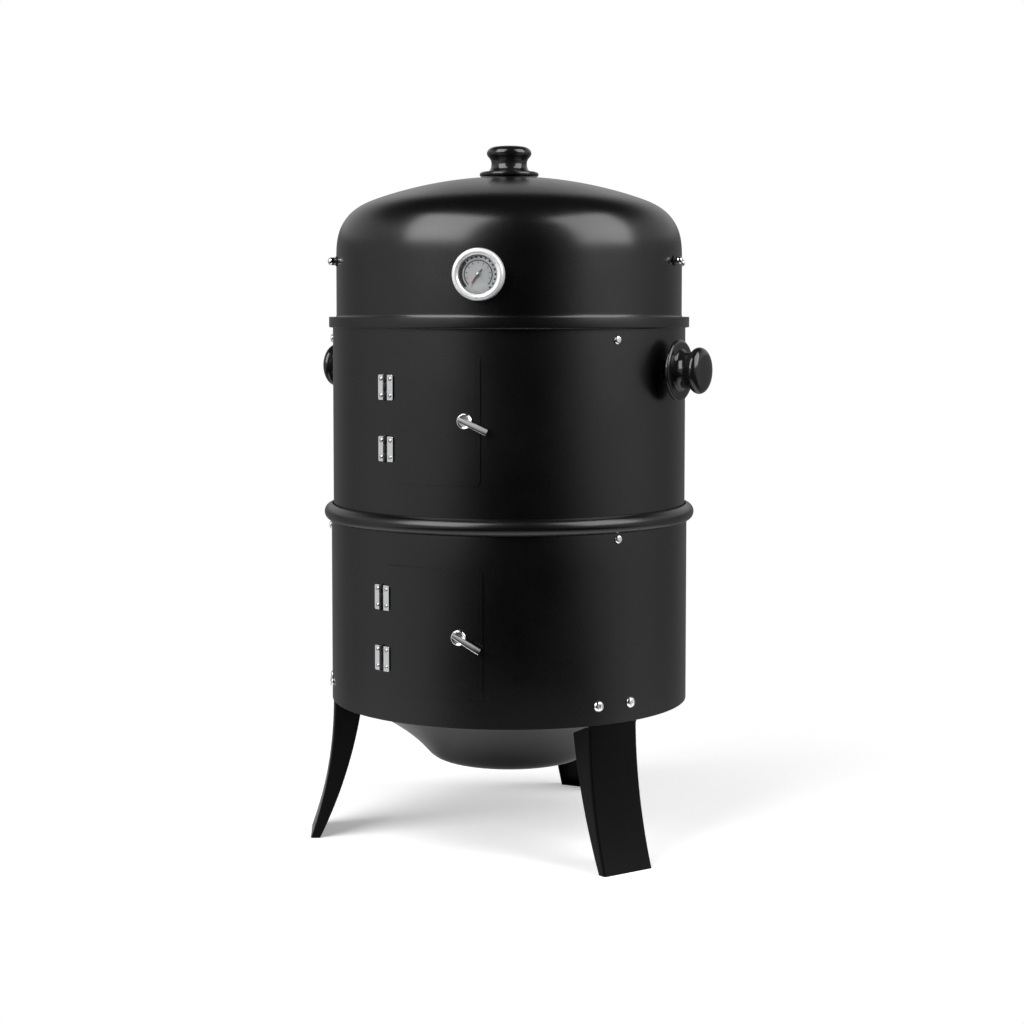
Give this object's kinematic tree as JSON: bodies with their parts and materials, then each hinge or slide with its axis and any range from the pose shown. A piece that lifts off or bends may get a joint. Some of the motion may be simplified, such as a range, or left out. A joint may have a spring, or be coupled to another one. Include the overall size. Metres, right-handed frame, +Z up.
{
  "type": "vertical charcoal smoker",
  "caption": "Upright charcoal smoker: domed lid with thermometer, stacked body rings with hinged doors, bowls and grates inside, on splayed legs.",
  "frame": {"origin": "on the ground under the middle of the body", "axes": "+Z up, -Y towards the doors and the thermometer at the front, +X to the right seen from the front"},
  "size_m": [0.4573, 0.4359, 0.7969],
  "materials": {
    "black_enamel": "satin",
    "bright_chrome": "polished",
    "plain_steel": "satin",
    "black_knob": "gloss",
    "cast_grate": "matt",
    "dial_face": "satin",
    "needle_red": "matt",
    "clear_glass": "polished"
  },
  "bodies": {
    "lower_ring": {"lower_body": "black_enamel", "lower_bracket_1": "plain_steel", "lower_bracket_2": "plain_steel", "lower_bracket_3": "plain_steel", "leg_1": "black_enamel", "leg_2": "black_enamel", "leg_3": "black_enamel", "leg_bolt_1": "bright_chrome", "leg_bolt_2": "bright_chrome", "leg_bolt_3": "bright_chrome", "leg_bolt_4": "bright_chrome", "leg_bolt_5": "bright_chrome", "leg_bolt_6": "bright_chrome", "lower_hinge_top_frame_leaf": "bright_chrome", "lower_hinge_bottom_frame_leaf": "bright_chrome", "lower_hinge_top_pin": "plain_steel", "lower_hinge_bottom_pin": "plain_steel"},
    "lower_door": {"lower_door": "black_enamel", "lower_hinge_top_door_leaf": "bright_chrome", "lower_hinge_bottom_door_leaf": "bright_chrome"},
    "lower_latch": {"lower_latch_handle": "bright_chrome", "lower_latch_cam": "plain_steel"},
    "charcoal_bowl": {"charcoal_bowl": "black_enamel"},
    "charcoal_grate": {"charcoal_grate": "cast_grate"},
    "water_bowl": {"water_bowl": "black_enamel"},
    "lower_grate": {"lower_grate": "plain_steel"},
    "upper_ring": {"upper_body": "black_enamel", "upper_bracket_1": "plain_steel", "upper_bracket_2": "plain_steel", "upper_bracket_3": "plain_steel", "side_knob_1": "black_knob", "side_knob_2": "black_knob", "side_knob_bolt_1": "plain_steel", "side_knob_bolt_2": "plain_steel", "upper_hinge_top_frame_leaf": "bright_chrome", "upper_hinge_bottom_frame_leaf": "bright_chrome", "upper_hinge_top_pin": "plain_steel", "upper_hinge_bottom_pin": "plain_steel"},
    "upper_door": {"upper_door": "black_enamel", "upper_hinge_top_door_leaf": "bright_chrome", "upper_hinge_bottom_door_leaf": "bright_chrome"},
    "upper_latch": {"upper_latch_handle": "bright_chrome", "upper_latch_cam": "plain_steel"},
    "upper_grate": {"upper_grate": "plain_steel"},
    "lid": {"lid_shell": "black_enamel", "lid_knob": "black_knob", "lid_knob_screw": "plain_steel", "thermometer_case": "plain_steel", "thermometer_bezel": "bright_chrome", "thermometer_dial": "dial_face", "thermometer_lens": "clear_glass", "thermometer_nut": "plain_steel", "rail_bracket_1": "plain_steel", "rail_bracket_2": "plain_steel", "lid_bolt_1": "bright_chrome", "lid_bolt_2": "bright_chrome", "lid_bolt_3": "bright_chrome", "lid_bolt_4": "bright_chrome"},
    "needle": {"thermometer_needle": "needle_red"},
    "hanging_rod": {"hanging_rod": "plain_steel"}
  },
  "joints": [
    {"name": "upper_ring_lift", "type": "slide", "parent": "lower_ring", "child": "upper_ring", "axis": [0, 0, 1], "range_m": [0, 0.3]},
    {"name": "lid_lift", "type": "slide", "parent": "upper_ring", "child": "lid", "axis": [0, 0, 1], "range_m": [0, 0.25]},
    {"name": "upper_grate_lift", "type": "slide", "parent": "upper_ring", "child": "upper_grate", "axis": [0, 0, 1], "range_m": [0, 0.05]},
    {"name": "water_bowl_lift", "type": "slide", "parent": "lower_ring", "child": "water_bowl", "axis": [0, 0, 1], "range_m": [0, 0.08]},
    {"name": "lower_grate_lift", "type": "slide", "parent": "water_bowl", "child": "lower_grate", "axis": [0, 0, 1], "range_m": [0, 0.06]},
    {"name": "charcoal_bowl_lift", "type": "slide", "parent": "lower_ring", "child": "charcoal_bowl", "axis": [0, 0, 1], "range_m": [0, 0.06]},
    {"name": "charcoal_grate_lift", "type": "slide", "parent": "charcoal_bowl", "child": "charcoal_grate", "axis": [0, 0, 1], "range_m": [0, 0.06]},
    {"name": "hanging_rod_lift", "type": "slide", "parent": "lid", "child": "hanging_rod", "axis": [0, 0, 1], "range_m": [0, 0.03]},
    {"name": "upper_door_hinge", "type": "hinge", "parent": "upper_ring", "child": "upper_door", "pos_m": [-0.13492, -0.15686, 0.49095], "axis": [0, 0, -1], "range_deg": [0, 125]},
    {"name": "lower_door_hinge", "type": "hinge", "parent": "lower_ring", "child": "lower_door", "pos_m": [-0.13978, -0.15578, 0.2614], "axis": [0, 0, -1], "range_deg": [0, 125]},
    {"name": "upper_latch_turn", "type": "hinge", "parent": "upper_door", "child": "upper_latch", "pos_m": [-0.04762, -0.20145, 0.48995], "axis": [0.23, 0.9732, 0], "range_deg": [0, 90]},
    {"name": "lower_latch_turn", "type": "hinge", "parent": "lower_door", "child": "lower_latch", "pos_m": [-0.05414, -0.20207, 0.258], "axis": [0.2588, 0.9659, 0], "range_deg": [0, 90]},
    {"name": "needle_turn", "type": "hinge", "parent": "lid", "child": "needle", "pos_m": [-0.03274, -0.20439, 0.6457], "axis": [0.1582, 0.9874, 0], "range_deg": [0, 265]}
  ]
}
